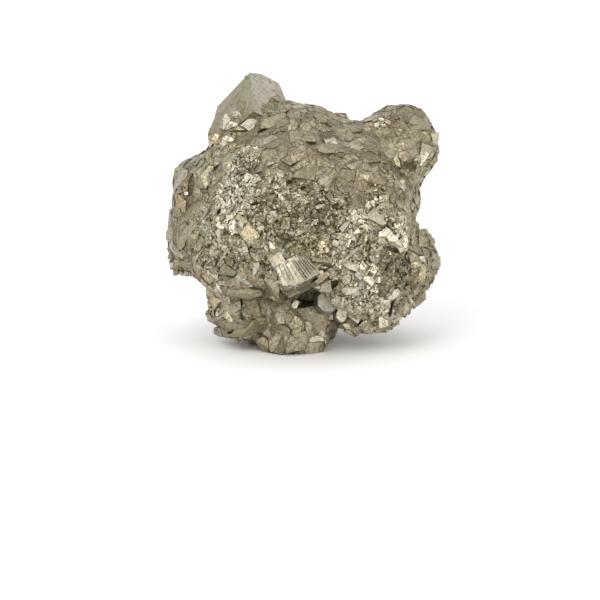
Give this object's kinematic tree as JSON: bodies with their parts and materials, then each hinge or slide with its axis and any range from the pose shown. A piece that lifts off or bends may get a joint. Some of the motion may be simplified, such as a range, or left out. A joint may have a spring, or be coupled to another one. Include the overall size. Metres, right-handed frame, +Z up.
{
  "type": "pyrite specimen",
  "caption": "Rough lump of intergrown pyrite crystals with a corner-up block at its peak, standing on a small flat spot.",
  "frame": {"origin": "middle of the bounding box, at the level of the flat spot that it stands on", "axes": "+Z up, -Y towards the front with the striated block, +X to the right as seen from the front"},
  "size_m": [0.0496, 0.0408, 0.048],
  "materials": {
    "pyrite": "satin"
  },
  "bodies": {
    "root": {"pyrite": "pyrite"}
  },
  "joints": []
}
